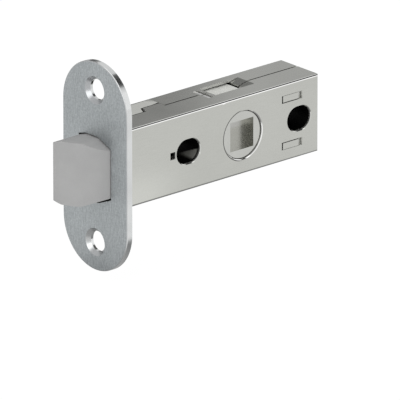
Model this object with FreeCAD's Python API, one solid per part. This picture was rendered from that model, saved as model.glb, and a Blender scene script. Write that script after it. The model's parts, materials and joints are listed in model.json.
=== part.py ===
"""Tubular door latch for a timber door: a folded steel case behind a round-ended faceplate, with a
bevelled latch bolt that a square spindle draws back.

Millimetres. The origin is the middle of the faceplate's outer face. +X runs into the door along the
case, the bolt stands out to -X, Y crosses the door's thickness and +Z is up.
"""
import FreeCAD, Part
import math
import os

from FreeCAD import Vector

# Faceplate
plate_width = 25.4
plate_height = 57.5
plate_thickness = 1.8
plate_rim_radius = 0.3
screw_pitch = 42.0
screw_hole_dia = 5.6
countersink_dia = 7.6
countersink_half_angle = 45.0

# Case, one sheet folded round to a square tube
case_width = 15.3
case_height = 21.6
sheet = 0.7
bend_radius = 0.65
bend_inner_radius = 0.2
seam_y = 0.6
seam_gap = 0.4
flap_gap = 0.12
hole_rim_chamfer = 0.2

# Spindle follower, its axis one backset behind the faceplate's outer face
backset = 45.0
spindle_size = 8.0
spindle_clearance = 0.05
journal_wall = 0.85
journal_clearance = 0.07
journal_recess = 0.6
collar_wall = 0.5
collar_length = 0.95
hub_shoulder = 0.52
hub_end_play = 0.25
lobe_tip_radius = 1.0
lobe_top_gap = 0.3
lobe_side_gap = 0.6

# Slots for the rose screws ahead of and behind the spindle, each lined by a tube between the walls
rose_screw_pitch = 38.87
rose_screw_shift = 0.305
slot_height = 6.7
slot_length = 8.15
tube_wall = 0.6
tube_step = 0.1
rear_land = 2.8

# Tongue that keys the seam behind the faceplate, and the dish beside it
tongue_start_x = 18.2
tongue_flank = 1.2
tongue_end_x = 25.0
tongue_y = 3.2
tongue_gap = 0.06
dish_depth = 0.5
dish_ramp = 2.6

# Window in the case's top over the sliders, with its pressed lips, placed from the spindle
window_ahead = 4.8
window_behind = 8.9
window_near_y = -2.1
window_far_y = 4.5
lip_length = 2.9
lip_drop = 0.75
lip_thickness = 0.3
lip_end_gap = 0.25
bridge_ahead = 7.7
bridge_slot = 1.8
bridge_width = 0.9
bridge_near_y = -2.7
bridge_far_y = 3.75
bridge_drop = 0.3

# Small hole ahead of the front slot
sight_land = 0.595
sight_length = 1.7
sight_height = 2.0

# Spring stops, plates whose tabs pass through the case and are folded flat
spring_stop_behind = 0.3
spring_stop_thickness = 0.65
stop_plate_clearance = 0.1
tab_below_wall = 3.6
tab_height = 1.75
tab_slot_height = 2.1
tab_slot_length = 7.15
tab_slot_back = 0.1
tab_end_gap = 0.4
tab_bend_radius = 1.0
tab_offset = 0.08

# Latch bolt
bolt_projection = 9.3
bolt_side_gap = 0.95
bolt_top_gap = 2.1
bolt_floor_gap = 0.6
bolt_gap = 0.4
near_corner_drop = 2.15
near_corner_run = 4.75
far_corner_drop = 0.75
far_corner_run = 2.45
bevel_crown = 1.75
head_inside = 1.4
bolt_edge_radius = 0.15
tenon_setback = 0.4
tenon_top_gap = 2.6

# Tail plates either side of the tenon, carried back above and below the follower
tail_thickness = 1.0
tail_clearance = 0.1
tail_side_gap = 1.2
tail_top_gap = 1.35
tail_head_gap = 0.4
web_tube_gap = 0.895
arm_behind_axis = 5.6
tail_corner_radius = 1.0
bolt_pin_dia = 2.0
bolt_pin_back = 3.8
bolt_pin_edge = 2.6
pin_head_dia = 3.0
pin_head_height = 0.35

# Sliders that the lobes push, each with a broad flange that runs forward under the case's wall
slider_play = 0.25
slider_top_gap = 0.45
slider_hub_clearance = 0.3
slider_side_gap = 0.05
slider_wall_gap = 0.3
slider_tail_gap = 0.1
pocket_lobe_gap = 0.7
pocket_side_gap = 0.3
slider_edge = 0.2
flange_lead = 1.5
slider_nose = 0.3
rivet_dia = 0.9
rivet_head_dia = 1.2
rivet_back = 6.0

# Springs on their guide pins
spring_top_gap = 0.25
spring_outer_dia = 3.4
spring_wire_dia = 0.35
spring_coils = 6.0
spring_end_gap = 0.05
wire_sides = 4
guide_pin_dia = 2.0
guide_pin_root_gap = 0.2
guide_pin_end_gap = 0.9

# Case and its holes, as they follow from the sizes above
case_start_x = plate_thickness
case_half_width = case_width / 2
case_half_height = case_height / 2
inner_half_width = case_half_width - sheet
inner_half_height = case_half_height - sheet
front_slot_x = backset + rose_screw_shift - rose_screw_pitch / 2
rear_slot_x = backset + rose_screw_shift + rose_screw_pitch / 2
case_end_x = rear_slot_x + slot_length / 2 + rear_land
window_start_x = backset - window_ahead
window_end_x = backset + window_behind
bridge_start_x = backset - bridge_ahead
sight_end_x = front_slot_x - slot_length / 2 - sight_land
spring_stop_x = rear_slot_x + spring_stop_behind
tab_slot_end_x = spring_stop_x + spring_stop_thickness + tab_slot_back
tab_slot_start_x = tab_slot_end_x - tab_slot_length
tab_z = inner_half_height - tab_below_wall

# Tail plates and bolt
tail_outer_y = inner_half_width - tail_side_gap
tail_inner_y = tail_outer_y - tail_thickness
tail_half_height = inner_half_height - tail_top_gap
bolt_travel = bolt_projection
bolt_half_width = inner_half_width - bolt_side_gap
bolt_half_height = inner_half_height - (bolt_top_gap + bolt_floor_gap) / 2
bolt_centre_z = (bolt_floor_gap - bolt_top_gap) / 2
head_end_x = plate_thickness + head_inside
tail_start_x = head_end_x + tail_head_gap
tail_web_end_x = front_slot_x - slot_length / 2 - tube_wall - bolt_travel - web_tube_gap
tenon_end_x = tail_web_end_x - tenon_setback
tenon_half_width = tail_inner_y - tail_clearance
tenon_half_height = inner_half_height - tenon_top_gap
bolt_pin_x = head_end_x + bolt_pin_back
bolt_pin_z = tenon_half_height - bolt_pin_edge

# Follower, whose lobes swing far enough to draw the bolt in flush
square_size = spindle_size + 2 * spindle_clearance
journal_dia = square_size * math.sqrt(2) + 2 * journal_wall
hub_dia = journal_dia + 2 * hub_shoulder
hub_hole_radius = journal_dia / 2 + journal_clearance
collar_end_y = inner_half_width - collar_length
hub_half_length = collar_end_y - hub_end_play
journal_half_length = case_half_width - journal_recess
lobe_reach = inner_half_height - lobe_tip_radius - lobe_top_gap
lobe_half_width = tail_inner_y - lobe_side_gap
half_turn = math.degrees(math.asin(bolt_travel / 2 / lobe_reach))

# Sliders, their rivets, guide pins and springs
over_hub_z = hub_dia / 2 + slider_hub_clearance
slider_top_z = inner_half_height - slider_top_gap
slider_start_x = backset - bolt_travel / 2 + lobe_tip_radius + slider_play
flange_start_x = bridge_start_x - flange_lead
flange_half_width = inner_half_width - slider_wall_gap
flange_low_z = tail_half_height + slider_tail_gap
pocket_start_x = backset - bolt_travel / 2 - lobe_tip_radius - pocket_lobe_gap
pocket_half_width = lobe_half_width + pocket_side_gap
slider_end_x = backset + arm_behind_axis
rivet_x = slider_end_x - rivet_back
rivet_z = (tail_half_height + over_hub_z) / 2
spring_z = inner_half_height - spring_top_gap - spring_outer_dia / 2
pin_low_z = spring_z - guide_pin_dia / 2
guide_pin_start_x = backset + math.sqrt(max(over_hub_z ** 2 - pin_low_z ** 2, 0)) + guide_pin_root_gap
guide_pin_end_x = spring_stop_x - bolt_travel - guide_pin_end_gap

far_side = Vector(0, 1, 0)
rearward = Vector(1, 0, 0)
upward = Vector(0, 0, 1)
tolerance = 1e-4


def box(low, high):
    return Part.makeBox(high[0] - low[0], high[1] - low[1], high[2] - low[2], Vector(*low))


def polygon(points):
    loop = [Vector(*p) for p in points]
    return Part.Face(Part.makePolygon(loop + loop[:1]))


def rod_across(radius, x, z, half_length):
    return Part.makeCylinder(radius, 2 * half_length, Vector(x, -half_length, z), far_side)


def obround_across(length, height, x, low_y, high_y):
    """Slot-shaped bar that lies across the case, its long way along X."""
    radius = height / 2
    offset = length / 2 - radius
    ends = [Part.makeCylinder(radius, high_y - low_y, Vector(x + side * offset, low_y, 0), far_side)
            for side in (-1, 1)]
    middle = box((x - offset, low_y, -radius), (x + offset, high_y, radius))
    return middle.fuse(ends).removeSplitter()


def chosen_edges(shape, test):
    return [edge for edge in shape.Edges if test(edge)]


def lies_at(edge, axis, value):
    low = getattr(edge.BoundBox, axis + "Min")
    high = getattr(edge.BoundBox, axis + "Max")
    return abs(low - value) < tolerance and abs(high - value) < tolerance


def runs_along(edge, axis, length):
    return abs(getattr(edge.BoundBox, axis + "Length") - length) < tolerance


def mirrored(shape):
    """The same piece below the centre line."""
    return shape.mirror(Vector(0, 0, 0), upward)


def bolt_outline(x, grow):
    """Section of the bolt: full height in the middle, deep shoulders to -Y and shallow ones to +Y."""
    side = bolt_half_width + grow
    top = bolt_half_height + grow
    near = top - near_corner_drop
    far = top - far_corner_drop
    near_y = -bolt_half_width + near_corner_run
    far_y = bolt_half_width - far_corner_run
    upper = [(-side, near), (near_y, top), (far_y, top), (side, far)]
    lower = [(y, -z) for y, z in reversed(upper)]
    return polygon([(x, y, z + bolt_centre_z) for y, z in upper + lower])


def make_faceplate():
    radius = plate_width / 2
    straight = plate_height / 2 - radius
    arc_top = Part.Arc(Vector(0, -radius, straight), Vector(0, 0, straight + radius),
                       Vector(0, radius, straight))
    arc_low = Part.Arc(Vector(0, radius, -straight), Vector(0, 0, -straight - radius),
                       Vector(0, -radius, -straight))
    sides = [Part.makeLine(Vector(0, radius, straight), Vector(0, radius, -straight)),
             Part.makeLine(Vector(0, -radius, -straight), Vector(0, -radius, straight))]
    outline = Part.Wire([arc_top.toShape(), sides[0], arc_low.toShape(), sides[1]])
    plate = Part.Face(outline).extrude(Vector(plate_thickness, 0, 0))
    plate = plate.makeFillet(plate_rim_radius, chosen_edges(plate, lambda e: lies_at(e, "X", 0)))
    for z in (-screw_pitch / 2, screw_pitch / 2):
        cone_depth = (countersink_dia - screw_hole_dia) / 2 / math.tan(math.radians(countersink_half_angle))
        hole = Part.makeCylinder(screw_hole_dia / 2, plate_thickness, Vector(0, 0, z), rearward)
        cone = Part.makeCone(countersink_dia / 2, screw_hole_dia / 2, cone_depth, Vector(0, 0, z), rearward)
        plate = plate.cut(hole.fuse(cone))
    opening = bolt_outline(0, bolt_gap).extrude(Vector(plate_thickness, 0, 0))
    return plate.cut(opening)


def case_block(start_x, end_x, half_width, half_height, bend):
    """Solid block with the case's long bends and the rear bend on the -Y side."""
    block = box((start_x, -half_width, -half_height), (end_x, half_width, half_height))

    def is_bend(edge):
        long_edge = runs_along(edge, "X", end_x - start_x)
        rear_bend = lies_at(edge, "X", end_x) and lies_at(edge, "Y", -half_width)
        return long_edge or rear_bend

    return block.makeFillet(bend, chosen_edges(block, is_bend))


def top_cut(points):
    """Cutter through the case's top, drawn in plan."""
    low = inner_half_height - bend_radius
    return polygon([(x, y, low) for x, y in points]).extrude(Vector(0, 0, bend_radius + 2 * sheet))


def rear_flap_slits():
    """Fine gaps round the free edges of the flap that closes the rear end."""
    inner_end = case_end_x - sheet
    slits = []
    for side in (-1, 1):
        z = side * inner_half_height
        low, high = sorted((z, z - side * flap_gap))
        slits.append(box((inner_end, -inner_half_width, low), (case_end_x, inner_half_width, high)))
    slits.append(box((inner_end, inner_half_width - flap_gap, -inner_half_height),
                     (case_end_x, inner_half_width, inner_half_height)))
    return slits


def seam_slot():
    """Narrow slot along the seam's front part, round the tongue and back to the middle."""
    near = [(case_start_x - sheet, seam_y), (tongue_start_x, seam_y),
            (tongue_start_x + tongue_flank, tongue_y), (tongue_end_x, tongue_y),
            (tongue_end_x, seam_y), (tongue_end_x + tongue_gap, seam_y)]
    return top_cut(near + [(tongue_end_x + tongue_gap, tongue_y + seam_gap)] + flap_edge()[::-1])


def flap_edge():
    """Free edge of the flap on the slot's +Y side, from the faceplate back."""
    flank_x = tongue_start_x + tongue_flank - seam_gap
    return [(case_start_x - sheet, seam_y + seam_gap), (tongue_start_x - seam_gap, seam_y + seam_gap),
            (flank_x, tongue_y + seam_gap)]


def dished_flap():
    """The flap's place in the top, and the flap itself with its free edge pressed down."""
    far_y = inner_half_width - bend_inner_radius
    ramp_x = tongue_end_x - dish_ramp
    place = top_cut(flap_edge() + [(tongue_end_x, tongue_y + seam_gap), (tongue_end_x, far_y),
                                   (case_start_x, far_y)])

    def section(x, depth):
        top = case_half_height
        return polygon([(x, far_y, top), (x, far_y, top - sheet),
                        (x, seam_y, top - sheet - depth), (x, seam_y, top - depth)]).OuterWire

    dished = Part.makeLoft([section(case_start_x, dish_depth), section(ramp_x, dish_depth)], True, True)
    ramp = Part.makeLoft([section(ramp_x, dish_depth), section(tongue_end_x, 0)], True, True)
    return place, dished.fuse(ramp).common(place)


def make_case():
    outer = case_block(case_start_x, case_end_x, case_half_width, case_half_height, bend_radius)
    inner = case_block(case_start_x - sheet, case_end_x - sheet, inner_half_width, inner_half_height,
                       bend_inner_radius)
    case = outer.cut(inner)

    flap_place, flap = dished_flap()
    seam = top_cut([(tongue_end_x, seam_y), (case_end_x, seam_y), (case_end_x, seam_y + seam_gap),
                    (tongue_end_x, seam_y + seam_gap)])
    window = top_cut([(window_start_x, window_near_y), (window_end_x, window_near_y),
                      (window_end_x, window_far_y), (window_start_x, window_far_y)])
    bridge_end_x = bridge_start_x + bridge_slot
    bridge_slit = top_cut([(bridge_start_x, bridge_near_y), (bridge_end_x, bridge_near_y),
                           (bridge_end_x, bridge_far_y), (bridge_start_x, bridge_far_y)])
    case = case.cut([seam_slot(), flap_place, window, bridge_slit] + rear_flap_slits())

    bridge_low_x = bridge_start_x + (bridge_slot - bridge_width) / 2
    bridge = box((bridge_low_x, bridge_near_y, inner_half_height - bridge_drop),
                 (bridge_low_x + bridge_width, bridge_far_y, case_half_height - bridge_drop))
    lip_tip_x = window_end_x - lip_length
    lip_low_z = case_half_height - lip_drop - lip_thickness
    lip = polygon([(x, window_near_y + lip_end_gap, z) for x, z in
                   [(window_end_x, case_half_height), (lip_tip_x, case_half_height - lip_drop),
                    (lip_tip_x, lip_low_z), (window_end_x, inner_half_height)]])
    lip = lip.extrude(Vector(0, window_far_y - window_near_y - 2 * lip_end_gap, 0))
    case = case.fuse([flap, bridge, lip]).cut(seam)

    cuts = []
    collars = []
    for side in (-1, 1):
        low_y, high_y = sorted((side * collar_end_y, side * inner_half_width))
        collars.append(Part.makeCylinder(hub_hole_radius + collar_wall, high_y - low_y,
                                         Vector(backset, low_y, 0), far_side))
    cuts.append(rod_across(hub_hole_radius, backset, 0, case_half_width))
    cuts.append(box((sight_end_x - sight_length, -case_half_width, -sight_height / 2),
                    (sight_end_x, -inner_half_width, sight_height / 2)))
    for x in (front_slot_x, rear_slot_x):
        cuts.append(obround_across(slot_length, slot_height, x, -case_half_width, case_half_width))
    tab_slot_half = tab_slot_height / 2
    for z in (-tab_z, tab_z):
        cuts.append(box((tab_slot_start_x, -case_half_width, z - tab_slot_half),
                        (tab_slot_end_x, case_half_width, z + tab_slot_half)))
    case = case.fuse(collars).cut(cuts).removeSplitter()

    def is_hole_rim(edge):
        outside = lies_at(edge, "Y", -case_half_width) or lies_at(edge, "Y", case_half_width)
        middle = edge.BoundBox.Center
        near_hub = math.hypot(middle.x - backset, middle.z) < hub_hole_radius + tolerance
        near_slot = any(abs(middle.x - x) < slot_length / 2 + tolerance
                        and abs(middle.z) < slot_height / 2 + tolerance
                        for x in (front_slot_x, rear_slot_x))
        return outside and (near_hub or near_slot)

    return case.makeChamfer(hole_rim_chamfer, chosen_edges(case, is_hole_rim))


def make_screw_tube(x):
    """Lining between the case's walls that keeps them apart under the rose screws."""
    outer = obround_across(slot_length + 2 * tube_wall, slot_height + 2 * tube_wall, x,
                           -inner_half_width, inner_half_width)
    inner = obround_across(slot_length - 2 * tube_step, slot_height - 2 * tube_step, x,
                           -inner_half_width, inner_half_width)
    return outer.cut(inner)


def make_follower():
    journals = rod_across(journal_dia / 2, backset, 0, journal_half_length)
    hub = rod_across(hub_dia / 2, backset, 0, hub_half_length)
    body = journals.fuse(hub)
    for lean in (-half_turn, 180 + half_turn):
        stem = box((backset - lobe_tip_radius, -lobe_half_width, 0),
                   (backset + lobe_tip_radius, lobe_half_width, lobe_reach))
        tip = rod_across(lobe_tip_radius, backset, lobe_reach, lobe_half_width)
        lobe = stem.fuse(tip)
        lobe.rotate(Vector(backset, 0, 0), far_side, lean)
        body = body.fuse(lobe)
    half = square_size / 2
    square = box((backset - half, -case_half_width, -half), (backset + half, case_half_width, half))
    return body.cut(square).removeSplitter()


def bevel_plan():
    """The bolt's plan: a crowned bevel from the tip at +Y back to the -Y side."""
    tip = Vector(-bolt_projection, bolt_half_width, 0)
    heel = Vector(0, -bolt_half_width, 0)
    chord = heel - tip
    outward = Vector(chord.y, -chord.x, 0).normalize()
    crown = (tip + heel) * 0.5 + outward * bevel_crown
    face = Part.Arc(tip, crown, heel).toShape()
    corners = [heel, Vector(head_end_x, -bolt_half_width, 0), Vector(head_end_x, bolt_half_width, 0), tip]
    sides = [Part.makeLine(a, b) for a, b in zip(corners, corners[1:])]
    return Part.Face(Part.Wire([face] + sides))


def make_bolt_head():
    reach = bolt_half_height + abs(bolt_centre_z)
    plan = bevel_plan()
    plan.translate(Vector(0, 0, -reach))
    prism = plan.extrude(Vector(0, 0, 2 * reach))
    section = bolt_outline(-bolt_projection, 0).extrude(Vector(bolt_projection + head_end_x, 0, 0))
    head = section.common(prism)
    head = head.makeFillet(bolt_edge_radius, chosen_edges(head, lambda e: lies_at(e, "Y", bolt_half_width)
                                                          and lies_at(e, "X", -bolt_projection)))
    tenon = box((head_end_x, -tenon_half_width, -tenon_half_height),
                (tenon_end_x, tenon_half_width, tenon_half_height))
    pin_holes = [rod_across(bolt_pin_dia / 2, bolt_pin_x, z, tenon_half_width)
                 for z in (-bolt_pin_z, bolt_pin_z)]
    return head.fuse(tenon).cut(pin_holes)


def make_tail_plate(side):
    """Flat stamping: a web beside the tenon and two arms that pass the screw tube and the follower."""
    web = box((tail_start_x, 0, -tail_half_height), (tail_web_end_x, tail_thickness, tail_half_height))
    upper_arm = box((tail_web_end_x, 0, over_hub_z), (slider_end_x, tail_thickness, tail_half_height))
    plate = web.fuse([upper_arm, mirrored(upper_arm)]).removeSplitter()

    def is_corner(edge):
        across = runs_along(edge, "Y", tail_thickness)
        return across and (lies_at(edge, "X", tail_web_end_x) or lies_at(edge, "X", tail_start_x))

    plate = plate.makeFillet(tail_corner_radius, chosen_edges(plate, is_corner))
    low_y = tail_inner_y if side > 0 else -tail_outer_y
    plate.translate(Vector(0, low_y, 0))
    holes = [rod_across(bolt_pin_dia / 2, bolt_pin_x, z, tail_outer_y) for z in (-bolt_pin_z, bolt_pin_z)]
    holes += [rod_across(rivet_dia / 2, rivet_x, z, tail_outer_y) for z in (-rivet_z, rivet_z)]
    return plate.cut(holes)


def headed_pin(dia, head_dia, x, z):
    """Pin across both tail plates with a flat head closed on each of them."""
    body = rod_across(dia / 2, x, z, tail_outer_y)
    heads = [Part.makeCylinder(head_dia / 2, pin_head_height, Vector(x, side * tail_outer_y, z),
                               far_side * side) for side in (-1, 1)]
    return body.fuse(heads).removeSplitter()


def make_slider():
    """Upper slider: it passes over the hub, and its front face takes the lobe's push."""
    half = tail_inner_y - slider_side_gap
    flange = box((flange_start_x, -flange_half_width, flange_low_z),
                 (slider_end_x, flange_half_width, slider_top_z))
    flange = flange.makeChamfer(slider_edge, chosen_edges(flange, lambda e: lies_at(e, "Z", slider_top_z)
                                                          and lies_at(e, "X", slider_end_x)))
    pocket = box((pocket_start_x, -pocket_half_width, 0), (slider_start_x, pocket_half_width, slider_top_z))
    block = box((slider_start_x, -half, 0), (slider_end_x, half, flange_low_z)).fuse(flange.cut(pocket))
    ahead_of_hub = box((slider_start_x, -half, 0), (backset, half, over_hub_z))
    block = block.cut([ahead_of_hub, rod_across(over_hub_z, backset, 0, half)])
    block = block.makeChamfer(slider_nose, chosen_edges(block, lambda e: lies_at(e, "X", slider_start_x)
                                                        and lies_at(e, "Z", over_hub_z)))
    rivet_hole = rod_across(rivet_dia / 2, rivet_x, rivet_z, half)
    pin_hole = Part.makeCylinder(guide_pin_dia / 2, slider_end_x - guide_pin_start_x,
                                 Vector(guide_pin_start_x, 0, spring_z), rearward)
    return block.cut([rivet_hole, pin_hole])


def make_guide_pin():
    return Part.makeCylinder(guide_pin_dia / 2, guide_pin_end_x - guide_pin_start_x,
                             Vector(guide_pin_start_x, 0, spring_z), rearward)


def make_spring():
    start_x = slider_end_x + spring_end_gap
    end_x = spring_stop_x - spring_end_gap
    mean_radius = (spring_outer_dia - spring_wire_dia) / 2
    height = end_x - start_x - spring_wire_dia
    helix = Part.makeHelix(height / spring_coils, height, mean_radius)
    corners = []
    for i in range(wire_sides):
        angle = 2 * math.pi * (i + 0.5) / wire_sides
        corners.append((mean_radius + spring_wire_dia / 2 * math.cos(angle), 0,
                        spring_wire_dia / 2 * math.sin(angle)))
    section = Part.makePolygon([Vector(*p) for p in corners + corners[:1]])
    coil = Part.Wire(helix.Edges).makePipeShell([section], True, True)
    coil.rotate(Vector(0, 0, 0), far_side, 90)
    coil.translate(Vector(start_x + spring_wire_dia / 2, 0, spring_z))
    return coil


def make_spring_stop():
    """Upper plate across the case, with a tab through each wall folded forward in its slot."""
    low_z = slot_height / 2 + tube_wall + stop_plate_clearance
    high_z = inner_half_height - stop_plate_clearance
    back_x = spring_stop_x + spring_stop_thickness
    plate = box((spring_stop_x, -inner_half_width, low_z), (back_x, inner_half_width, high_z))
    plate = plate.makeFillet(bend_inner_radius, chosen_edges(plate, lambda e: lies_at(e, "Z", high_z)
                                                             and runs_along(e, "X", spring_stop_thickness)))
    inner_y = case_half_width - spring_stop_thickness
    tab_low_z = tab_z + tab_offset - tab_height / 2
    bend_x = spring_stop_x - tab_bend_radius
    bend_y = inner_y - tab_bend_radius
    tabs = []
    for side in (-1, 1):
        low_y, high_y = sorted((side * bend_y, side * case_half_width))
        quarter = box((bend_x, low_y, tab_low_z), (back_x, high_y, tab_low_z + tab_height))
        bend_centre = Vector(bend_x, side * bend_y, tab_low_z)
        outer, inner = [Part.makeCylinder(radius, tab_height, bend_centre, upward)
                        for radius in (tab_bend_radius + spring_stop_thickness, tab_bend_radius)]
        neck = outer.cut(inner).common(quarter)
        low_y, high_y = sorted((side * inner_y, side * case_half_width))
        leaf = box((tab_slot_start_x + tab_end_gap, low_y, tab_low_z),
                   (bend_x, high_y, tab_low_z + tab_height))
        tabs += [neck, leaf]
    return plate.fuse(tabs).removeSplitter()


def cam_gaps(steps=60):
    """Gaps between the lobe's round tip and the slider's front face, in even steps over the turn."""
    gaps = []
    for step in range(steps + 1):
        share = step / steps
        angle = math.radians((2 * share - 1) * half_turn)
        lobe_x = backset + lobe_reach * math.sin(angle) + lobe_tip_radius
        gaps.append(slider_start_x + bolt_travel * share - lobe_x)
    return gaps


def make_parts():
    slider = make_slider()
    spring = make_spring()
    guide_pin = make_guide_pin()
    spring_stop = make_spring_stop()
    rivet = headed_pin(rivet_dia, rivet_head_dia, rivet_x, rivet_z)
    bolt_pin = headed_pin(bolt_pin_dia, pin_head_dia, bolt_pin_x, bolt_pin_z)
    parts = {
        "faceplate": make_faceplate(),
        "case": make_case(),
        "front_screw_tube": make_screw_tube(front_slot_x),
        "rear_screw_tube": make_screw_tube(rear_slot_x),
        "follower": make_follower(),
        "bolt_head": make_bolt_head(),
        "near_tail_plate": make_tail_plate(-1),
        "far_tail_plate": make_tail_plate(1),
    }
    for name, shape in [("slider", slider), ("spring", spring), ("spring_guide_pin", guide_pin),
                        ("spring_stop", spring_stop), ("slider_rivet", rivet), ("bolt_pin", bolt_pin)]:
        parts["upper_" + name] = shape
        parts["lower_" + name] = mirrored(shape)
    return parts


os.makedirs("parts", exist_ok=True)
print("turn %.3f degrees, lobe to slider gap %.3f to %.3f mm"
      % (2 * half_turn, min(cam_gaps()), max(cam_gaps())))
for name, shape in make_parts().items():
    shape.exportStep("parts/" + name + ".step")
    print("%-26s %-9s valid %s, solids %d, %8.2f mm3"
          % (name, shape.ShapeType, shape.isValid(), len(shape.Solids), shape.Volume))
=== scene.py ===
import json
import math
import bmesh
import bpy
from mathutils import Matrix, Vector

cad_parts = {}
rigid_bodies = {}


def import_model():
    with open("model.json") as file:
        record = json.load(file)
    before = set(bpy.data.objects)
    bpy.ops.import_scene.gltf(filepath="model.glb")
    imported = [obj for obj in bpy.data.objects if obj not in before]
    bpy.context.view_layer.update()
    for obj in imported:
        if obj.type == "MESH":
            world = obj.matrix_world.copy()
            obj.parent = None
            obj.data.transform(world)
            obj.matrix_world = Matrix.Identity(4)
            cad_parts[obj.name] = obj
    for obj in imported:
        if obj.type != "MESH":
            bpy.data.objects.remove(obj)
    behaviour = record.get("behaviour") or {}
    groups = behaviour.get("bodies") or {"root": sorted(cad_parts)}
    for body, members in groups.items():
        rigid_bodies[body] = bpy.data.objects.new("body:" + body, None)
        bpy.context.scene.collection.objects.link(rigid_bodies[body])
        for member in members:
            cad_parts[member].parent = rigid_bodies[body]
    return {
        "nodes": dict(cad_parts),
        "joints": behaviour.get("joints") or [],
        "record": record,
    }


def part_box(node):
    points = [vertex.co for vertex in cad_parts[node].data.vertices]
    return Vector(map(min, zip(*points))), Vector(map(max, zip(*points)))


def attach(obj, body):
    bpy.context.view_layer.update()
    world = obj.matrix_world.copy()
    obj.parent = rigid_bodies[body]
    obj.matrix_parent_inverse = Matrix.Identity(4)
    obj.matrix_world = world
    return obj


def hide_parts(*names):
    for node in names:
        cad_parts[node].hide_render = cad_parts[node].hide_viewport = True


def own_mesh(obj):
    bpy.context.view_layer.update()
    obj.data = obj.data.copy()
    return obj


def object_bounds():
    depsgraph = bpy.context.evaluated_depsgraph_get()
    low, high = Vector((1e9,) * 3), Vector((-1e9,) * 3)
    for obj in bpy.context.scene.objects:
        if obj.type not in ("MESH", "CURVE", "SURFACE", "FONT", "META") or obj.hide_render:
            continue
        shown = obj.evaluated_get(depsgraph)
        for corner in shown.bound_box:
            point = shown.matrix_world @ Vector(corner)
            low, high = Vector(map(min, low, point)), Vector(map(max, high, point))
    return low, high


for leftover in list(bpy.data.objects):
    bpy.data.objects.remove(leftover)
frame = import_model()
nodes = frame["nodes"]
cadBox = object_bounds()
print("frame loaded,", len(nodes), "nodes")

mm = 0.001


# shader maths: a wrapped socket takes part in Python expressions

class Wire:
    def __init__(self, tree, socket):
        self.tree = tree
        self.socket = socket

    def math(self, operation, first, second=0.0):
        node = self.tree.nodes.new("ShaderNodeMath")
        node.operation = operation
        plug(self.tree, node.inputs[0], first)
        plug(self.tree, node.inputs[1], second)
        return Wire(self.tree, node.outputs[0])

    def __add__(self, other):
        return self.math("ADD", self, other)

    def __radd__(self, other):
        return self.math("ADD", other, self)

    def __sub__(self, other):
        return self.math("SUBTRACT", self, other)

    def __rsub__(self, other):
        return self.math("SUBTRACT", other, self)

    def __mul__(self, other):
        return self.math("MULTIPLY", self, other)

    def __rmul__(self, other):
        return self.math("MULTIPLY", other, self)

    def __truediv__(self, other):
        return self.math("DIVIDE", self, other)

    def __pow__(self, other):
        return self.math("POWER", self, other)

    def __abs__(self):
        return self.math("ABSOLUTE", self)

    def squared(self):
        return self * self


def plug(tree, slot, value):
    if isinstance(value, Wire):
        tree.links.new(value.socket, slot)
    elif slot.type == "RGBA" and len(value) == 3:
        slot.default_value = (*value, 1.0)
    else:
        slot.default_value = value


# detail and roughness of each kind of noise
grainNoise = (3.0, 0.6)
cloudNoise = (2.0, 0.5)
speckNoise = (2.0, 0.7)
mouldedClouds = (3.0, 0.55)
mouldedSpecks = (2.0, 0.6)

# the part of a noise's values that its effect spreads over
grainSpread = (0.25, 0.75)
cloudSpread = (0.3, 0.7)


class Finish:
    # one node tree; every node but the Math ones comes from add()
    def __init__(self, owner):
        owner.use_nodes = True
        self.tree = owner.node_tree
        self.tree.nodes.clear()

    def add(self, kind, settings=None, inputs=None, output=0):
        node = self.tree.nodes.new("ShaderNode" + kind)
        for name, value in (settings or {}).items():
            setattr(node, name, value)
        for name, value in (inputs or {}).items():
            plug(self.tree, node.inputs[name], value)
        return Wire(self.tree, node.outputs[output]) if node.outputs else None

    def parts(self, vector):
        split = self.add("SeparateXYZ", {}, {"Vector": vector})
        return [Wire(self.tree, socket) for socket in split.socket.node.outputs]

    def between(self, value, low, high, lowTo=0.0, highTo=1.0):
        # a smooth rise, or fall, from lowTo at low to highTo at high
        return self.add("MapRange", {"interpolation_type": "SMOOTHSTEP"},
                        {"Value": value, "From Min": low, "From Max": high,
                         "To Min": lowTo, "To Max": highTo})

    def within(self, value, low, high, edge):
        # 1 from low to high, fading out over the edge on both sides
        return (self.between(value, low - edge, low)
                * self.between(value, high, high + edge, 1.0, 0.0))

    def swing(self, value, spread):
        # -1 at the low end of the spread, 1 at its high end
        return self.between(value, *spread, -1.0, 1.0)

    def noise(self, place, scale, kind):
        return self.add("TexNoise", {}, {"Vector": place, "Scale": scale,
                                         "Detail": kind[0], "Roughness": kind[1]})

    def stretched(self, place, scale):
        return self.add("Mapping", {}, {"Vector": place, "Scale": scale})

    def blend(self, share, first, second):
        # inputs 6 and 7 and output 2 of a Mix node are its colours
        return self.add("Mix", {"data_type": "RGBA"}, {0: share, 6: first, 7: second}, output=2)

    def bump(self, height, depth):
        return self.add("Bump", {}, {"Height": height, "Distance": depth, "Strength": 1.0})

    def texture(self, place, look):
        # drawn grain, soft clouds and fine specks, with the tone, roughness and tooth that they make
        grain = self.noise(self.stretched(place, look["grainScale"]), 1.0, grainNoise)
        clouds = self.noise(place, look["cloudScale"], cloudNoise)
        specks = self.noise(place, look["speckScale"], speckNoise)
        tone = (self.swing(grain, grainSpread) * look["grainTone"]
                + self.swing(clouds, cloudSpread) * look["cloudTone"]
                + self.swing(specks, cloudSpread) * look["speckTone"] + 0.5)
        rough = (look["roughness"] + self.swing(grain, grainSpread) * look["roughGrain"]
                 + self.swing(clouds, cloudSpread) * look["roughCloud"])
        tooth = grain * look["grainHeight"] + specks * look["speckHeight"]
        return clouds, tone, rough, tooth


def newFinish(name):
    material = bpy.data.materials.new(name)
    return material, Finish(material)


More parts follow.
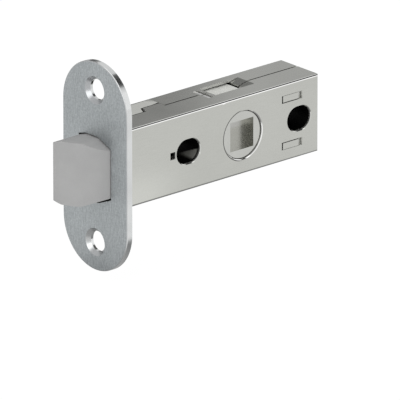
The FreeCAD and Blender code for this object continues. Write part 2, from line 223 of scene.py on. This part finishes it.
def metalFinish(name, look):
    # bare metal; all colours in these dictionaries are linear
    material, f = newFinish(name)
    clouds, tone, rough, tooth = f.texture(f.add("TexCoord", output="Object"), look)
    shader = f.add("BsdfPrincipled", {}, {
        "Base Color": f.blend(tone, look["dark"], look["light"]), "Metallic": 1.0,
        "Roughness": rough, "Normal": f.bump(tooth, look["toothDepth"])})
    f.add("OutputMaterial", {}, {"Surface": shader})
    return material


def plasticFinish(name, look):
    # moulded plastic: faint clouding, fine spark-eroded tooth
    material, f = newFinish(name)
    place = f.add("TexCoord", output="Object")
    clouds = f.noise(place, look["cloudScale"], mouldedClouds)
    specks = f.noise(place, look["speckScale"], mouldedSpecks)
    tone = f.between(clouds, *cloudSpread) + f.between(specks, *cloudSpread) * look["speckTone"]
    colour = f.blend(tone / (1 + look["speckTone"]), look["dark"], look["light"])
    rough = look["roughness"] + f.swing(clouds, cloudSpread) * look["roughCloud"]
    shader = f.add("BsdfPrincipled", {}, {
        "Base Color": colour, "Roughness": rough, "Specular IOR Level": look["specular"],
        "Normal": f.bump(specks, look["toothDepth"])})
    f.add("OutputMaterial", {}, {"Surface": shader})
    return material


# faceplate: satin steel, grain drawn along its height, with a bright cut rim

faceplateLook = {
    "dark": (0.257, 0.276, 0.284), "light": (0.501, 0.530, 0.539),
    "rimDark": (0.58, 0.59, 0.59), "rimLight": (0.68, 0.69, 0.69),
    "bevelDark": (0.40, 0.41, 0.42), "bevelLight": (0.50, 0.51, 0.51),
    "faceFrom": 0.90, "faceFull": 0.99, "bevelFrom": 0.20, "bevelFull": 0.45,
    "grainScale": (2700, 2700, 420), "grainTone": 0.23,
    "cloudScale": 90, "cloudTone": 0.08,
    "speckScale": 1900, "speckTone": 0.20,
    "roughness": 0.50, "roughGrain": 0.05, "roughCloud": 0.03,
    "rimRoughness": 0.14, "bevelRoughness": 0.30,
    "grainHeight": 0.5, "speckHeight": 0.4, "toothDepth": 0.000028,
}


def faceplateFinish(look):
    # the squared X part of the normal tells the flat face from the screw holes' bevels and the rim
    material, f = newFinish("satinSteel")
    facing = f.parts(f.add("NewGeometry", output="Normal"))[0].squared()
    onFace = f.between(facing, look["faceFrom"], look["faceFull"])
    onBevel = f.between(facing, look["bevelFrom"], look["bevelFull"])
    clouds, tone, rough, tooth = f.texture(f.add("TexCoord", output="Object"), look)
    share = f.between(clouds, *cloudSpread)
    cut = f.blend(onBevel, f.blend(share, look["rimDark"], look["rimLight"]),
                  f.blend(share, look["bevelDark"], look["bevelLight"]))
    cutRough = look["rimRoughness"] + onBevel * (look["bevelRoughness"] - look["rimRoughness"])
    shader = f.add("BsdfPrincipled", {}, {
        "Base Color": f.blend(onFace, cut, f.blend(tone, look["dark"], look["light"])),
        "Metallic": 1.0, "Roughness": cutRough + onFace * (rough - cutRough),
        "Normal": f.bump(tooth * onFace, look["toothDepth"])})
    f.add("OutputMaterial", {}, {"Surface": shader})
    return material


# case: smooth bright plating on folded sheet

caseLook = {
    "dark": (0.470, 0.474, 0.446), "light": (0.520, 0.525, 0.495),
    # bends and hole rims: painted highlight colours, far brighter than the walls
    "bendHighlightDark": (0.80, 0.80, 0.79), "bendHighlightBright": (0.88, 0.88, 0.87),
    "flatFrom": 0.88, "flatFull": 0.93,
    "grainScale": (260, 2600, 2600), "grainTone": 0.16,
    "cloudScale": 60, "cloudTone": 0.20,
    "speckScale": 3200, "speckTone": 0.14,
    "roughness": 0.14, "roughGrain": 0.015, "roughCloud": 0.015, "bendRoughness": 0.07,
    "grainHeight": 0.3, "speckHeight": 0.4, "toothDepth": 0.000004,
    # painted shade: dark lines beside the seam and its tongue, standing in for the shadow in the gap
    "lineWidth": 0.28 * mm, "lineFade": 0.06 * mm, "seamShadeTone": (0.08, 0.08, 0.075),
    "topFrom": 10.55 * mm, "topFull": 10.7 * mm, "seamY": 0.6 * mm, "tongueY": 3.2 * mm,
    "tongueX": 18.2 * mm, "tongueFlank": 1.2 * mm, "tongueEndX": 25.0 * mm,
    # painted dark reflection: a dark line along the long folds, in squared parts of the normal
    "foldDarkReflection": (0.07, 0.07, 0.068), "foldFrom": 9.8 * mm, "foldFull": 10.0 * mm,
    "foldLow": 0.38, "foldHigh": 0.76, "foldFade": 0.04, "turnFrom": 0.05, "turnFull": 0.15,
    # bridge before the window, painted with the bends' highlight colour
    "bridgeX": 37.75 * mm, "bridgeWidth": 0.9 * mm, "bridgeLow": 10.2 * mm,
    # painted shade: a dark ring on the front half of the hub hole, where the gap round the follower lies in
    # shadow; and calmer painted highlights on the rims of the screw slots
    "hubX": 45.0 * mm, "ringRadius": 6.80 * mm, "ringWidth": 0.27 * mm, "ringEndX": 43.0 * mm,
    "ringFadeX": 45.0 * mm, "ringShade": (0.11, 0.11, 0.105),
    "rimReach": 3.55 * mm, "rimClear": 3.9 * mm, "rimHubNear": 8.5 * mm, "rimHubFar": 24.2 * mm,
    "rimCalm": 0.75,
    # the sheet's own sheared edge, inside the holes of the side walls and of the top
    "cutTone": (0.66, 0.66, 0.64), "cutRoughness": 0.45, "edgeFrom": 0.1, "edgeFull": 0.3,
    "cutFrom": 6.8 * mm, "cutFull": 6.95 * mm, "cutReach": 9.5 * mm, "cutClear": 9.9 * mm,
    "cutEndX": 71.0 * mm,
    "openLow": 10.0 * mm, "openFull": 10.1 * mm, "openReach": 6.3 * mm, "openClear": 6.6 * mm,
    "openX": 36.8 * mm, "openEndX": 54.4 * mm, "flankX": 18.3 * mm, "flankEndX": 19.3 * mm,
}


def caseFinish(look):
    # a wall's normal lies along one axis; on bends and hole rims it leans, and there a brighter colour is
    # painted in as a highlight
    material, f = newFinish("platedCase")
    place = f.add("TexCoord", output="Object")
    x, y, z = f.parts(place)
    endways, sideways, upwards = [part.squared() for part in f.parts(f.add("NewGeometry", output="Normal"))]
    largest = x.math("MAXIMUM", endways, x.math("MAXIMUM", sideways, upwards))
    onWall = f.between(largest, look["flatFrom"], look["flatFull"])
    line, fade = look["lineWidth"], look["lineFade"]

    seamY, tongueY, startX = look["seamY"], look["tongueY"], look["tongueX"]
    beforeTongue = f.within(y, seamY - line, seamY, fade) * f.between(x, startX, startX + fade, 1.0, 0.0)
    alongTongue = (f.within(y, tongueY - line, tongueY, fade)
                   * f.within(x, startX + look["tongueFlank"], look["tongueEndX"], fade))
    onTop = f.between(z, look["topFrom"], look["topFull"])
    # painted shade along the seam and the tongue's edges
    seamShade = onTop * x.math("MINIMUM", beforeTongue + alongTongue, 1.0)

    # where the painted dark reflection line lies along the long folds
    fold = (f.between(abs(z), look["foldFrom"], look["foldFull"])
            * f.within(upwards, look["foldLow"], look["foldHigh"], look["foldFade"])
            * f.between(endways, look["turnFrom"], look["turnFull"], 1.0, 0.0))

    fromHub = x - look["hubX"]
    onRing = (f.within((fromHub.squared() + z.squared()) ** 0.5, look["ringRadius"],
                       look["ringRadius"] + look["ringWidth"], fade)
              * f.between(x, look["ringEndX"], look["ringFadeX"], 1.0, 0.0)
              * f.between(sideways, look["flatFrom"], look["flatFull"]))
    onSlotRim = (f.between(abs(z), look["rimReach"], look["rimClear"], 1.0, 0.0)
                 * f.within(abs(fromHub), look["rimHubNear"], look["rimHubFar"], line))
    onBridge = (f.within(x, look["bridgeX"], look["bridgeX"] + look["bridgeWidth"], fade)
                * f.within(z, look["bridgeLow"], look["topFrom"], fade))

    sideCut = (f.between(abs(y), look["cutFrom"], look["cutFull"])
               * f.between(sideways, look["edgeFrom"], look["edgeFull"], 1.0, 0.0)
               * f.between(abs(z), look["cutReach"], look["cutClear"], 1.0, 0.0)
               * f.between(x, look["cutEndX"], look["cutEndX"] + line, 1.0, 0.0))
    topCut = (f.between(z, look["openLow"], look["openFull"])
              * f.between(upwards, look["edgeFrom"], look["edgeFull"], 1.0, 0.0)
              * f.between(abs(y), look["openReach"], look["openClear"], 1.0, 0.0))
    atOpenings = (f.within(x, look["openX"], look["openEndX"], line)
                  + f.within(x, look["flankX"], look["flankEndX"], fade))
    onCut = x.math("MAXIMUM", sideCut, topCut * atOpenings)

    clouds, tone, rough, tooth = f.texture(place, look)
    wall = f.blend(seamShade, f.blend(tone, look["dark"], look["light"]), look["seamShadeTone"])
    # painted shade on the hub ring and painted highlight on the bridge
    wall = f.blend(onBridge, f.blend(onRing, wall, look["ringShade"]), look["bendHighlightBright"])
    # painted highlight on the bends, calmed towards the wall tone on the screw slots' rims
    bend = f.blend(f.between(clouds, *cloudSpread), look["bendHighlightDark"], look["bendHighlightBright"])
    bend = f.blend(fold, f.blend(onSlotRim * look["rimCalm"], bend, look["dark"]), look["foldDarkReflection"])
    rough = look["bendRoughness"] + onWall * (rough - look["bendRoughness"])
    shader = f.add("BsdfPrincipled", {}, {
        "Base Color": f.blend(onCut, f.blend(onWall, bend, wall), look["cutTone"]), "Metallic": 1.0,
        "Roughness": rough + onCut * (look["cutRoughness"] - rough),
        "Normal": f.bump(tooth * onWall, look["toothDepth"])})
    f.add("OutputMaterial", {}, {"Surface": shader})
    return material


# follower: cast zinc, with the square broached through it

followerLook = {
    "dark": (0.490, 0.495, 0.470), "light": (0.540, 0.545, 0.520),
    "broachedDark": (0.590, 0.590, 0.562), "broachedLight": (0.630, 0.630, 0.600),
    "sideFrom": 0.3, "sideFull": 0.6,
    "cloudScale": 240, "cloudTone": 0.20, "speckScale": 5200, "speckTone": 0.24,
    "roughness": 0.14, "broachedRoughness": 0.15, "toothDepth": 0.000002,
    # painted shade: the square's end walls darken towards its mouths, most of all high up
    "mouthShade": (0.440, 0.440, 0.400), "mouthFrom": 1.5 * mm, "mouthFull": 7.0 * mm,
    "highShade": (0.300, 0.300, 0.275), "highFrom": 2.2 * mm, "highFull": 3.2 * mm,
    # painted shade: a dark line round the journal's face, where the gap beside it lies in shadow
    "axisX": 45.0 * mm, "rimLineFrom": 6.36 * mm, "rimLineFull": 6.46 * mm,
    "rimLineShade": (0.10, 0.10, 0.095),
}


def followerFinish(look):
    material, f = newFinish("zincCasting")
    place = f.add("TexCoord", output="Object")
    x, y, z = f.parts(place)
    endways, sideways = [part.squared() for part in f.parts(f.add("NewGeometry", output="Normal"))[:2]]
    onFace = f.between(sideways, look["sideFrom"], look["sideFull"])
    onEndWall = f.between(endways, look["sideFrom"], look["sideFull"])
    fromAxis = ((x - look["axisX"]).squared() + z.squared()) ** 0.5
    rimLine = onFace * f.between(fromAxis, look["rimLineFrom"], look["rimLineFull"])
    clouds = f.noise(place, look["cloudScale"], cloudNoise)
    specks = f.noise(place, look["speckScale"], speckNoise)
    tone = (f.swing(clouds, cloudSpread) * look["cloudTone"]
            + f.swing(specks, cloudSpread) * look["speckTone"] + 0.5)
    cast = f.blend(rimLine, f.blend(tone, look["dark"], look["light"]), look["rimLineShade"])
    mouth = f.between(abs(y), look["mouthFrom"], look["mouthFull"]) * onEndWall
    high = f.between(z, look["highFrom"], look["highFull"])
    broached = f.blend(tone, look["broachedDark"], look["broachedLight"])
    # painted shade on the square's end walls
    broached = f.blend(mouth, broached, look["mouthShade"])
    broached = f.blend(mouth * high, broached, look["highShade"])
    shader = f.add("BsdfPrincipled", {}, {
        "Base Color": f.blend(onFace, broached, cast), "Metallic": 1.0,
        "Roughness": look["broachedRoughness"] + onFace * (look["roughness"] - look["broachedRoughness"]),
        "Normal": f.bump(specks * onFace, look["toothDepth"])})
    f.add("OutputMaterial", {}, {"Surface": shader})
    return material


# small steel parts, plastics and linings

plainSteelLook = {
    "dark": (0.400, 0.400, 0.390), "light": (0.520, 0.520, 0.510),
    "grainScale": (500, 4200, 4200), "grainTone": 0.30,
    "cloudScale": 220, "cloudTone": 0.20,
    "speckScale": 5200, "speckTone": 0.20,
    "roughness": 0.30, "roughGrain": 0.04, "roughCloud": 0.03,
    "grainHeight": 0.6, "speckHeight": 0.5, "toothDepth": 0.000006,
}

springSteelLook = {
    "dark": (0.300, 0.300, 0.300), "light": (0.480, 0.480, 0.470),
    "grainScale": (5200, 5200, 5200), "grainTone": 0.25,
    "cloudScale": 600, "cloudTone": 0.20,
    "speckScale": 9000, "speckTone": 0.15,
    "roughness": 0.28, "roughGrain": 0.03, "roughCloud": 0.02,
    "grainHeight": 0.4, "speckHeight": 0.4, "toothDepth": 0.000004,
}

boltLook = {
    "dark": (0.332, 0.332, 0.332), "light": (0.368, 0.368, 0.366),
    "cloudScale": 130, "speckScale": 5200, "speckTone": 0.6,
    "roughness": 0.62, "roughCloud": 0.05, "specular": 0.25, "toothDepth": 0.000014,
}

sliderLook = {
    "dark": (0.545, 0.550, 0.520), "light": (0.605, 0.610, 0.580),
    "cloudScale": 180, "speckScale": 4200, "speckTone": 0.5,
    "roughness": 0.50, "roughCloud": 0.05, "specular": 0.35, "toothDepth": 0.000010,
}

liningLook = {
    "dark": (0.0010, 0.0010, 0.0010), "light": (0.0028, 0.0028, 0.0026),
    "cloudScale": 260, "speckScale": 3800, "speckTone": 0.4,
    "roughness": 0.38, "roughCloud": 0.04, "specular": 0.05, "toothDepth": 0.000006,
}

# painted light: a grey band low down inside the front lining, where light through the slot falls on it
litBandLook = {
    "tone": (0.165, 0.165, 0.150), "outerY": -6.9 * mm, "innerY": -3.6 * mm, "deepY": 0.2 * mm,
    "slant": 0.42, "topZ": -2.99 * mm, "topEdge": 0.45 * mm, "lowZ": -3.15 * mm, "lowEdge": 0.7 * mm,
}


def liningFinish(name, look, litBand=None):
    material, f = newFinish(name)
    place = f.add("TexCoord", output="Object")
    clouds = f.noise(place, look["cloudScale"], mouldedClouds)
    specks = f.noise(place, look["speckScale"], mouldedSpecks)
    tone = clouds * (1 - look["speckTone"]) + specks * look["speckTone"]
    colour = f.blend(tone, look["dark"], look["light"])
    # painted light low down inside the lining
    if litBand:
        y, z = f.parts(place)[1:]
        slanting = z + y * litBand["slant"]
        low = (f.between(slanting, litBand["topZ"] - litBand["topEdge"], litBand["topZ"], 1.0, 0.0)
               * f.between(z, litBand["lowZ"], litBand["lowZ"] + litBand["lowEdge"]))
        deep = (f.between(y, litBand["outerY"], litBand["outerY"] + litBand["lowEdge"])
                * f.between(y, litBand["innerY"], litBand["deepY"], 1.0, 0.0))
        colour = f.blend(low * deep, colour, litBand["tone"])
    rough = look["roughness"] + f.swing(clouds, cloudSpread) * look["roughCloud"]
    shader = f.add("BsdfPrincipled", {}, {
        "Base Color": colour, "Roughness": rough, "Specular IOR Level": look["specular"],
        "Normal": f.bump(specks, look["toothDepth"])})
    f.add("OutputMaterial", {}, {"Surface": shader})
    return material


finishes = {
    "satin_steel": faceplateFinish(faceplateLook),
    "plated_case": caseFinish(caseLook),
    "zinc_casting": followerFinish(followerLook),
    "plain_steel": metalFinish("plainSteel", plainSteelLook),
    "spring_steel": metalFinish("springSteel", springSteelLook),
    "grey_nylon": plasticFinish("greyNylon", boltLook),
    "white_nylon": plasticFinish("whiteNylon", sliderLook),
    "black_lining": liningFinish("blackLining", liningLook),
}

for part in frame["record"]["subparts"]:
    nodes[part["node"]].material_slots[0].material = finishes[part["material_slot"]]
nodes["front_screw_tube"].material_slots[0].material = liningFinish("litBandLining", liningLook, litBandLook)
print("finishes made:", ", ".join(finishes))


# springs: round wire with closed ends

springLook = {"coils": 10.0, "closedCoils": 1.25, "wire": 0.35 * mm, "outer": 3.4 * mm,
              "stepsPerTurn": 40, "sides": 12}


def helixPoints(low, high, look):
    # closed turns at both ends, open ones between
    centre = (low + high) / 2
    radius = (look["outer"] - look["wire"]) / 2
    startX = low.x + look["wire"] / 2
    length = high.x - low.x - look["wire"]
    closed = look["closedCoils"]
    steps = int(look["coils"] * look["stepsPerTurn"])
    closedRise = closed * look["wire"]
    points = []
    for step in range(steps + 1):
        turn = look["coils"] * step / steps
        if turn < closed:
            along = turn * look["wire"]
        elif turn > look["coils"] - closed:
            along = length - (look["coils"] - turn) * look["wire"]
        else:
            share = (turn - closed) / (look["coils"] - 2 * closed)
            along = closedRise + share * (length - 2 * closedRise)
        angle = 2 * math.pi * turn
        points.append(Vector((startX + along, centre.y + radius * math.cos(angle),
                              centre.z + radius * math.sin(angle))))
    return points


def makeSpring(nodeName, look):
    low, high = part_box(nodeName)
    points = helixPoints(low, high, look)
    middle = (low + high) / 2
    mesh = bpy.data.meshes.new(nodeName + "_wire")
    body = bmesh.new()
    rings = []
    for index, point in enumerate(points):
        before = points[max(index - 1, 0)]
        after = points[min(index + 1, len(points) - 1)]
        along = (after - before).normalized()
        outward = Vector((0, point.y - middle.y, point.z - middle.z)).normalized()
        across = along.cross(outward).normalized()
        ring = []
        for side in range(look["sides"]):
            angle = 2 * math.pi * side / look["sides"]
            ring.append(body.verts.new(point + (outward * math.cos(angle) + across * math.sin(angle))
                                       * look["wire"] / 2))
        rings.append(ring)
    for first, second in zip(rings, rings[1:]):
        for side in range(look["sides"]):
            following = (side + 1) % look["sides"]
            body.faces.new((first[side], first[following], second[following], second[side]))
    body.faces.new(reversed(rings[0]))
    body.faces.new(rings[-1])
    bmesh.ops.recalc_face_normals(body, faces=body.faces)
    for face in body.faces:
        face.smooth = len(face.verts) == 4
    body.to_mesh(mesh)
    body.free()
    mesh.materials.append(finishes["spring_steel"])
    spring = bpy.data.objects.new(nodeName + "_wire", mesh)
    bpy.context.scene.collection.objects.link(spring)
    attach(spring, "lock_case")
    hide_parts(nodeName)
    return spring


slide = next(joint for joint in frame["joints"] if joint["name"] == "bolt_slide")
travel = slide["range_m"][1]
for nodeName in ("upper_spring", "lower_spring"):
    spring = makeSpring(nodeName, springLook)
    low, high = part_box(nodeName)
    1 - travel / (high.x - low.x)
    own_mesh(spring)
print("springs made")


# floor and light: a pale floor, a soft studio with panels round it, a card and two soft lamps

studio = {
    "floorDrop": 4.0 * mm, "floorRadius": 8.0, "floorSides": 96,
    "floorDark": (0.82, 0.82, 0.82), "floorLight": (0.84, 0.84, 0.84), "floorClouds": 3.0,
    "cameraGlow": 0.94, "mirrorGlow": 0.97, "glowStrength": 1.03, "duskStrength": 0.05,
    # painted shadow: what the latch mirrors, a darker patch of floor under the case that stands in for its
    # shadow
    "middle": (45 * mm, 0, 0), "patchScale": (0.55, 1, 1), "patchRadius": 30 * mm,
    "patchEdge": 12 * mm, "patchLevel": 0.26, "frontLevel": 0.50, "frontX": 2 * mm, "frontEnd": 16 * mm,
    # darker stretches beyond the faceplate and beyond the rear end
    "rearStart": -22 * mm, "rearX": 14 * mm, "rearY": 45 * mm, "rearEdge": 14 * mm, "rearLevel": 0.66,
    "sideX": 100 * mm, "sideY": -46 * mm, "sideEdge": 22 * mm, "sideLevel": 0.60,
    # painted light: a bright glowing strip on the floor before the case, which runs aslant by its slope
    "flareSlope": 1.128, "flareFrom": -10 * mm, "flareFull": -6 * mm, "flareTo": 4 * mm, "flareOut": 20 * mm,
    "flareY": -62 * mm, "flareEnd": -44 * mm, "flareEdge": 16 * mm, "flareShare": 0.80, "flareStrength": 1.30,
    # the studio's level, from the horizon up to an elevation in degrees
    "low": 1.0, "high": 0.90, "levelFrom": 2.0, "levelTo": 30.0,
}


def makeFloor(look):
    # the camera sees an even pale floor, mirrors see its darker and brighter stretches
    material, f = newFinish("paleFloor")
    camera = f.add("LightPath", output="Is Camera Ray")
    glossy = f.add("LightPath", output="Is Glossy Ray")
    through = f.add("LightPath", output="Is Transmission Ray")
    place = f.add("TexCoord", output="Object")
    offset = f.add("VectorMath", {"operation": "SUBTRACT"}, {0: place, 1: look["middle"]})
    scaled = f.add("VectorMath", {"operation": "MULTIPLY"}, {0: offset, 1: look["patchScale"]})
    distance = f.add("VectorMath", {"operation": "LENGTH"}, {0: scaled}, output="Value")
    x, y = f.parts(place)[:2]
    # painted shadow under the case, which only mirrors see
    inPatch = f.between(x, look["frontX"], look["frontEnd"], look["frontLevel"], look["patchLevel"])
    away = f.between(distance, look["patchRadius"], look["patchRadius"] + look["patchEdge"], inPatch, 1.0)
    behind = (f.between(y, look["rearY"], look["rearY"] + look["rearEdge"])
              * f.within(x, look["rearStart"], look["rearX"], look["rearEdge"]))
    away = away * (1 - behind * (1 - look["rearLevel"]))
    beside = (f.between(x, look["sideX"], look["sideX"] + look["sideEdge"])
              * f.between(y, look["sideY"], look["sideY"] + look["sideEdge"]))
    away = away * (1 - beside * (1 - look["sideLevel"]))
    tone = f.noise(place, look["floorClouds"], cloudNoise)
    matt = f.add("BsdfDiffuse", {}, {"Color": f.blend(tone, look["floorDark"], look["floorLight"])})
    glow = f.add("Emission", {}, {"Color": (1, 1, 1), "Strength": look["glowStrength"]})
    dusk = f.add("Emission", {}, {"Color": (1, 1, 1), "Strength": look["duskStrength"]})
    direct = f.add("MixShader", {}, {0: camera * look["cameraGlow"], 1: matt, 2: glow})
    flare = f.add("Emission", {}, {"Color": (1, 1, 1), "Strength": look["flareStrength"]})
    alongCase = y + x * look["flareSlope"]
    near = (f.between(alongCase, look["flareFrom"], look["flareFull"])
            * f.between(alongCase, look["flareTo"], look["flareOut"], 1.0, 0.0)
            * f.between(y, look["flareY"] - look["flareEdge"], look["flareY"])
            * f.between(y, look["flareEnd"], look["flareEnd"] + look["flareEdge"], 1.0, 0.0))
    lit = f.add("MixShader", {}, {0: near * look["flareShare"], 1: glow, 2: flare})
    mirrored = f.add("MixShader", {}, {0: away * look["mirrorGlow"], 1: dusk, 2: lit})
    mixed = f.add("MixShader", {}, {0: glossy + through, 1: direct, 2: mirrored})
    f.add("OutputMaterial", {}, {"Surface": mixed})
    mesh = bpy.data.meshes.new("floor")
    body = bmesh.new()
    bmesh.ops.create_circle(body, cap_ends=True, radius=look["floorRadius"], segments=look["floorSides"])
    body.to_mesh(mesh)
    body.free()
    mesh.materials.append(material)
    floor = bpy.data.objects.new("floor", mesh)
    floor.location = (0, 0, cadBox[0].z - look["floorDrop"])
    bpy.context.scene.collection.objects.link(floor)


# panels of the studio, in degrees: azimuth from +X, elevation, half sizes and the width of the soft edge
panels = [
    {"azimuth": -50, "elevation": 12, "halfWide": 40, "halfHigh": 17, "soft": 8, "level": 1.18},
    {"azimuth": -19, "elevation": 47.5, "halfWide": 19, "halfHigh": 4.5, "soft": 6, "level": 0.06},
    {"azimuth": 70, "elevation": 40, "halfWide": 12, "halfHigh": 6, "soft": 8, "level": 0.25},
    {"azimuth": 48, "elevation": 16, "halfWide": 30, "halfHigh": 4.5, "soft": 5, "level": 0.34},
    {"azimuth": 52, "elevation": 4, "halfWide": 30, "halfHigh": 6, "soft": 10, "level": 0.12},
]


def makeWorld(look):
    world = bpy.data.worlds.new("studio")
    bpy.context.scene.world = world
    f = Finish(world)
    x, y, z = f.parts(f.add("TexCoord", output="Generated"))
    azimuth = x.math("ARCTAN2", y, x) * math.degrees(1)
    elevation = x.math("ARCSINE", z) * math.degrees(1)
    level = f.between(elevation, look["levelFrom"], look["levelTo"], look["low"], look["high"])
    for panel in panels:
        sideways = abs(azimuth - panel["azimuth"])
        upwards = abs(elevation - panel["elevation"])
        inside = (f.between(sideways, panel["halfWide"], panel["halfWide"] + panel["soft"], 1, 0)
                  * f.between(upwards, panel["halfHigh"], panel["halfHigh"] + panel["soft"], 1, 0))
        level = level + inside * (panel["level"] - level)
    camera = f.add("LightPath", output="Is Camera Ray")
    seen = camera + (1 - camera) * level
    shade = f.add("Background", {}, {"Color": (1, 1, 1), "Strength": seen})
    f.add("OutputWorld", {}, {"Surface": shade})


# a card that only mirrors see, behind the latch: it lightens the rear of the top
card = {
    "from": (70 * mm, 0, 10.8 * mm), "towards": (0.6233, 0.7031, 0.3424), "distance": 150 * mm,
    "halfWide": 60 * mm, "halfHigh": 45 * mm, "nearEdge": 12 * mm, "edge": 22 * mm, "level": 0.60,
}


def makeCard(look):
    material, f = newFinish("reflectorCard")
    glossy = f.add("LightPath", output="Is Glossy Ray")
    x, y = f.parts(f.add("TexCoord", output="Object"))[:2]
    soft = (f.within(x, -look["halfWide"] + look["edge"], look["nearEdge"], look["edge"])
            * f.within(y, -look["halfHigh"] + look["edge"], look["halfHigh"] - look["edge"], look["edge"]))
    clear = f.add("BsdfTransparent", {}, {"Color": (1, 1, 1)})
    glow = f.add("Emission", {}, {"Color": (1, 1, 1), "Strength": look["level"]})
    seen = f.add("MixShader", {}, {0: glossy * soft, 1: clear, 2: glow})
    f.add("OutputMaterial", {}, {"Surface": seen})
    towards = Vector(look["towards"]).normalized()
    across = Vector((0, 0, 1)).cross(towards).normalized()
    upward = towards.cross(across)
    centre = Vector(look["from"]) + towards * look["distance"]
    mesh = bpy.data.meshes.new("card")
    body = bmesh.new()
    corners = [body.verts.new((side * look["halfWide"], rise * look["halfHigh"], 0))
               for side, rise in ((-1, -1), (1, -1), (1, 1), (-1, 1))]
    body.faces.new(corners)
    body.to_mesh(mesh)
    body.free()
    mesh.materials.append(material)
    holder = bpy.data.objects.new("card", mesh)
    holder.matrix_world = Matrix((across, upward, -towards)).transposed().to_4x4()
    holder.location = centre
    bpy.context.scene.collection.objects.link(holder)


# soft lamps, which both point at the middle of the case
lampAim = Vector((0.03, 0, 0))
lamps = [
    {"name": "overhead", "place": (0.03, -0.10, 0.70), "size": 0.7, "power": 0.8},
    {"name": "frontLeft", "place": (-0.60, -0.35, 0.35), "size": 0.5, "power": 1.4},
]


def makeLamps():
    for lamp in lamps:
        data = bpy.data.lights.new(lamp["name"], "AREA")
        data.size = lamp["size"]
        data.energy = lamp["power"]
        holder = bpy.data.objects.new(lamp["name"], data)
        holder.location = lamp["place"]
        holder.rotation_euler = (lampAim - holder.location).to_track_quat("-Z", "Y").to_euler()
        bpy.context.scene.collection.objects.link(holder)


makeFloor(studio)
makeWorld(studio)
makeCard(card)
makeLamps()
print("floor and light made")


# camera: a long lens from the front left, looking down on the latch

shot = {
    "azimuth": -41.554, "elevation": 20.026, "distance": 3.0, "aim": (30.0 * mm, 0, 0),
    "slideRight": 4.933 * mm, "slideUp": -15.588 * mm,
    "pixelsPerMetre": 3814.9, "imageWidth": 400, "sensor": 36.0, "near": 0.1, "far": 60.0,
}


def makeCamera(look):
    azimuth, elevation = math.radians(look["azimuth"]), math.radians(look["elevation"])
    back = Vector((math.sin(azimuth) * math.cos(elevation), -math.cos(azimuth) * math.cos(elevation),
                   math.sin(elevation)))
    right = Vector((math.cos(azimuth), math.sin(azimuth), 0))
    up = back.cross(right)
    data = bpy.data.cameras.new("camera")
    data.sensor_width = look["sensor"]
    data.lens = look["sensor"] * look["pixelsPerMetre"] * look["distance"] / look["imageWidth"]
    data.clip_start, data.clip_end = look["near"], look["far"]
    camera = bpy.data.objects.new("camera", data)
    camera.location = (Vector(look["aim"]) + right * look["slideRight"] + up * look["slideUp"]
                       + back * look["distance"])
    camera.rotation_mode = "QUATERNION"
    camera.rotation_quaternion = (-back).to_track_quat("-Z", "Y")
    bpy.context.scene.collection.objects.link(camera)
    bpy.context.scene.camera = camera


makeCamera(shot)
bpy.context.scene.view_settings.view_transform = "Standard"
